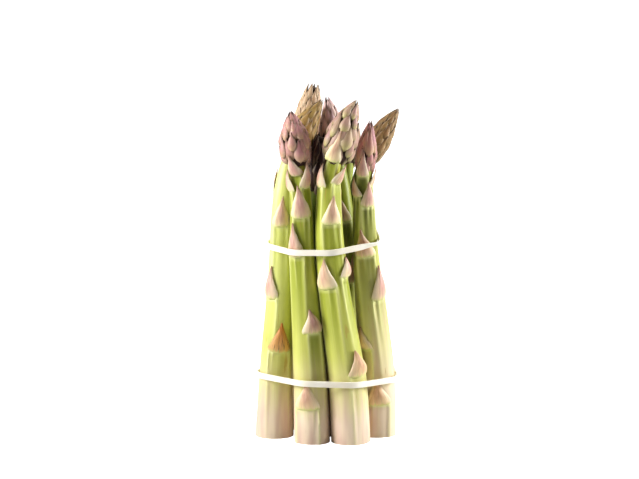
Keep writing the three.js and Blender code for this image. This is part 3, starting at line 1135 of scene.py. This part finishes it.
def head_core(spear):
    """The stem inside a head, painted dark as shade, which shows only in the clefts between its scales.
    """
    rings = 14
    length = spear.head_length * 0.94
    deselect()
    bpy.ops.mesh.primitive_uv_sphere_add(
        segments=20, ring_count=rings, radius=0.5, location=(0, 0, 0.5)
    )
    core = named("core")
    settle(core)
    core.scale = (1, 1, length)
    settle(core)
    edit(core)
    for row in range(1, rings):
        share = 0.5 - 0.5 * math.cos(math.pi * row / rings)
        pick(core, vertices=lambda v: abs(v.co.z - share * length) < 0.05 * MM)
        size = spear.head_radius(share) * min(0.62 + share, 0.74) / math.sqrt(share * (1 - share))
        bpy.ops.transform.resize(value=(size, size, 1), center_override=(0, 0, share * length))
    done()
    core.location = (0, 0, ROOT + spear.neck)
    # The core is painted almost wholly dark, as painted shade between the scales.
    for name, value in (("along", 1.0), ("across", 0.0), ("tone", 0.0), ("painted_cleft_shade", 0.85)):
        store(core, name, [value] * len(core.data.vertices))
    smooth(core)
    return core


def place_bud(spear, master, share, facing, length, width, depth, tone, shade):
    """Sets one packed scale on the straight head, its base sunk in and its point on the outside.

    shade is how much painted shade darkens its base, where the scales below it close over it.
    """
    bud = copy_of(master, f"{spear.name}_bud")
    tip = min(share + length, 1.0)
    rise = (tip - share) * spear.head_length
    inner = spear.head_radius(share) - depth * width
    outer = spear.head_radius(tip) + 0.12 * width * (1.2 - tip)
    bud.scale = (width, width, rise * 1.03)
    turned = facing - spear.turn
    bud.location = (
        inner * math.cos(turned), inner * math.sin(turned), ROOT + spear.neck + share * spear.head_length
    )
    bud.rotation_euler = (math.atan2(outer - inner, rise), 0, turned + math.pi / 2)
    store(bud, "tone", [tone] * len(bud.data.vertices))
    # Painted shade: the inner side of the scale, seen only in the gaps, is darkened, and so is its
    # covered base.
    along, back = places(bud)[:, 2], places(bud)[:, 1] / 0.16
    store(bud, "painted_cleft_shade", np.clip(np.maximum(0.6 + back, shade * (1 - along / 0.45)), 0, 0.85))
    return bud


def make_head(spear, master, skin):
    """A head: the scales that show best, then a spiral of more that fills in round them."""
    look = spear.look
    dice = random.Random(list(LOOKS).index(spear.name) + 101)
    parts = [head_core(spear)]
    taken = []
    for share, degrees, length, width in look["front"]:
        facing = math.radians(degrees)
        taken.append((share, facing))
        size = width * 1.05 * MM
        parts.append(
            place_bud(spear, master, share, facing, length, size, 0.06, dice.random(), 0.15)
        )
    for i in range(look["count"]):
        step = i / (look["count"] - 1)
        share = -0.02 + 0.80 * step
        length = (0.42 - 0.16 * step) * dice.uniform(0.9, 1.1)
        facing = i * GOLDEN_ANGLE + dice.uniform(-0.12, 0.12)
        width = 2 * math.pi * spear.head_radius(share + 0.1) / look["around"] * dice.uniform(1.0, 1.2)
        tone = dice.random()
        if any(
            abs(share - s) < CLEAR_SHARE and angle_between(facing, f) < CLEAR_TURN for s, f in taken
        ):
            continue
        parts.append(place_bud(spear, master, share, facing, length, width, 0.3, tone, 0.75))
    settle(*parts)
    head = join(parts, f"{spear.name}_head")
    bend_along(head, spear)
    head.data.materials.append(skin)
    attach(head, BODY)
    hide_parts(f"{spear.name}_tip")


# ---------------------------------------------------------------- rubber bands


def band_route(node):
    """The middle of each of a CAD band's sections, in order round it."""
    points = corners_of(node_triangles(node))
    middle = middle_of(points)
    facing = np.arctan2(points[:, 1] - middle[1], points[:, 0] - middle[0])
    return points[np.argsort(facing)].reshape(-1, 4, 3).mean(axis=1)


def make_band(node, settings, skin, twist):
    """A flat strip with rounded edges, led round the bundle and closed."""
    route = band_route(node)
    closed = np.vstack([route, route[:1]])
    length = np.linalg.norm(np.diff(closed, axis=0), axis=1).sum()
    facing = np.arctan2(route[:, 1], route[:, 0])
    roll = np.exp(-((angle_between(facing, math.radians(-38)) / 0.22) ** 2))
    curve = poly_curve(f"{node}_route", route, tilts=twist * roll, closed=True)
    deselect()
    bpy.ops.mesh.primitive_cube_add(size=1, location=(length / 2, 0, 0))
    band = named(node.replace("_rubber_band", "_stretched_band"))
    band.scale = (length, settings.thickness, settings.width)
    settle(band)
    lengthwise = lambda e: abs(e.verts[0].co.x - e.verts[1].co.x) > length / 2
    edit(band)
    pick(band, edges=lengthwise)
    bpy.ops.mesh.bevel(offset=settings.rounding, segments=3)
    pick(band, edges=lengthwise)
    bpy.ops.mesh.subdivide(number_cuts=287)
    pick(band, faces=lambda f: abs(f.normal.x) > 0.9)
    bpy.ops.mesh.delete(type="FACE")
    done()
    apply_modifier(band, "CURVE", object=curve, deform_axis="POS_X")
    edit(band)
    bpy.ops.mesh.select_all(action="SELECT")
    bpy.ops.mesh.remove_doubles(threshold=0.08 * MM)
    bpy.ops.mesh.normals_make_consistent(inside=False)
    done()
    smooth(band, 40)
    band.data.materials.append(skin)
    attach(band, BODY)
    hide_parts(node)
    discard(curve)


# ---------------------------------------------------------------- operators


class ASPARAGUS_OT_stalks(bpy.types.Operator):
    """Models the nine stalks, with their ridges and cut butts"""

    bl_idname = "asparagus.stalks"
    bl_label = "Stalks"

    def execute(self, context):
        settings = context.scene.asparagus_stalk
        cut = cut_butt()
        for name in LOOKS:
            spear = spear_of(name)
            make_stalk(spear, settings, stalk_skin(settings, spear), cut)
        return {"FINISHED"}


class ASPARAGUS_OT_scale_leaves(bpy.types.Operator):
    """Models the scale leaves along the stalks"""

    bl_idname = "asparagus.scale_leaves"
    bl_label = "Scale Leaves"

    def execute(self, context):
        settings = context.scene.asparagus_leaf
        master = leaf_master(settings)
        skin = scale_leaf_skin(settings)
        dice = random.Random(11)
        for name in LOOKS:
            spear = spear_of(name)
            for place in spear.leaves():
                make_leaf(spear, place, master, settings, skin, dice)
        discard(master)
        return {"FINISHED"}


class ASPARAGUS_OT_heads(bpy.types.Operator):
    """Models the head of packed scales at each spear's top"""

    bl_idname = "asparagus.heads"
    bl_label = "Heads"

    def execute(self, context):
        master = bud_master()
        for name in LOOKS:
            spear = spear_of(name)
            make_head(spear, master, head_scale_skin(spear))
        discard(master)
        return {"FINISHED"}


class ASPARAGUS_OT_rubber_bands(bpy.types.Operator):
    """Stretches the two rubber bands round the bundle"""

    bl_idname = "asparagus.rubber_bands"
    bl_label = "Rubber Bands"

    def execute(self, context):
        settings = context.scene.asparagus_band
        rubber = natural_rubber(settings)
        make_band("lower_rubber_band", settings, rubber, 0.0)
        make_band("upper_rubber_band", settings, rubber, settings.twist)
        return {"FINISHED"}


class ASPARAGUS_OT_studio(bpy.types.Operator):
    """Adds the floor, the soft lights and the camera"""

    bl_idname = "asparagus.studio"
    bl_label = "Studio"

    def execute(self, context):
        settings = context.scene.asparagus_studio
        self.floor(settings)
        self.world(context)
        self.light("left_softbox", (-0.95, -0.27, 0.50), 0.45, 13.0)
        self.light("right_softbox", (1.0, 0.06, 0.45), 0.45, 13.5)
        self.light("top_softbox", (0.0, 0.3, 1.0), 0.6, 2.0)
        self.camera(context, settings)
        return {"FINISHED"}

    def floor(self, settings):
        deselect()
        bpy.ops.mesh.primitive_plane_add(size=40)
        floor = named("acrylic_table")
        floor.data.materials.append(studio_floor(settings))

    def world(self, context):
        """A white room whose back wall and sides are lit more than the front."""
        world = bpy.data.worlds.new("white_room")
        world.use_nodes = True
        tree = world.node_tree
        tree.nodes.clear()
        direction = add(tree, "ShaderNodeTexCoord").outputs["Generated"]
        back = add(tree, "ShaderNodeSeparateXYZ", {0: direction}).outputs["Y"]
        light = add(
            tree, "ShaderNodeMapRange",
            {"Value": back, "From Min": -1.0, "From Max": 1.0, "To Min": 0.05, "To Max": 0.5},
        )
        sky = add(tree, "ShaderNodeBackground", {"Color": (1, 1, 1, 1), "Strength": light.outputs[0]})
        add(tree, "ShaderNodeOutputWorld", {"Surface": sky.outputs["Background"]})
        context.scene.world = world
        context.scene.view_settings.view_transform = "Standard"
        context.scene.view_settings.look = "Medium High Contrast"

    def light(self, name, place, size, power):
        deselect()
        bpy.ops.object.light_add(type="AREA", location=place)
        lamp = named(name)
        lamp.data.size = size
        lamp.data.energy = power
        lamp.rotation_euler = (Vector((0, 0, 0.1)) - Vector(place)).to_track_quat("-Z", "Y").to_euler()

    def camera(self, context, settings):
        deselect()
        bpy.ops.object.camera_add(location=settings.camera_place)
        camera = named("camera")
        camera.rotation_euler = (math.pi / 2 - settings.camera_pitch, 0, 0)
        camera.data.lens = settings.camera_lens
        camera.data.sensor_width = 36
        camera.data.clip_start = 0.01
        context.scene.camera = camera


class ASPARAGUS_PT_panel(bpy.types.Panel):
    """Lists the steps that model the bundle"""

    bl_idname = "ASPARAGUS_PT_panel"
    bl_label = "Asparagus Bundle"
    bl_space_type = "VIEW_3D"
    bl_region_type = "UI"
    bl_category = "Asparagus"

    def draw(self, context):
        for step in STEPS:
            self.layout.operator(step.bl_idname)


STEPS = (
    ASPARAGUS_OT_stalks,
    ASPARAGUS_OT_scale_leaves,
    ASPARAGUS_OT_heads,
    ASPARAGUS_OT_rubber_bands,
    ASPARAGUS_OT_studio,
)
CLASSES = (*SETTINGS.values(), *STEPS, ASPARAGUS_PT_panel)


def register():
    for each in CLASSES:
        bpy.utils.register_class(each)
    for name, group in SETTINGS.items():
        setattr(bpy.types.Scene, name, bpy.props.PointerProperty(type=group))


def unregister():
    for name in SETTINGS:
        delattr(bpy.types.Scene, name)
    for each in reversed(CLASSES):
        bpy.utils.unregister_class(each)


def main():
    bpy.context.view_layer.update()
    register()
    bpy.ops.asparagus.stalks()
    bpy.ops.asparagus.scale_leaves()
    bpy.ops.asparagus.heads()
    bpy.ops.asparagus.rubber_bands()
    bpy.ops.asparagus.studio()


if __name__ == "__main__":
    main()
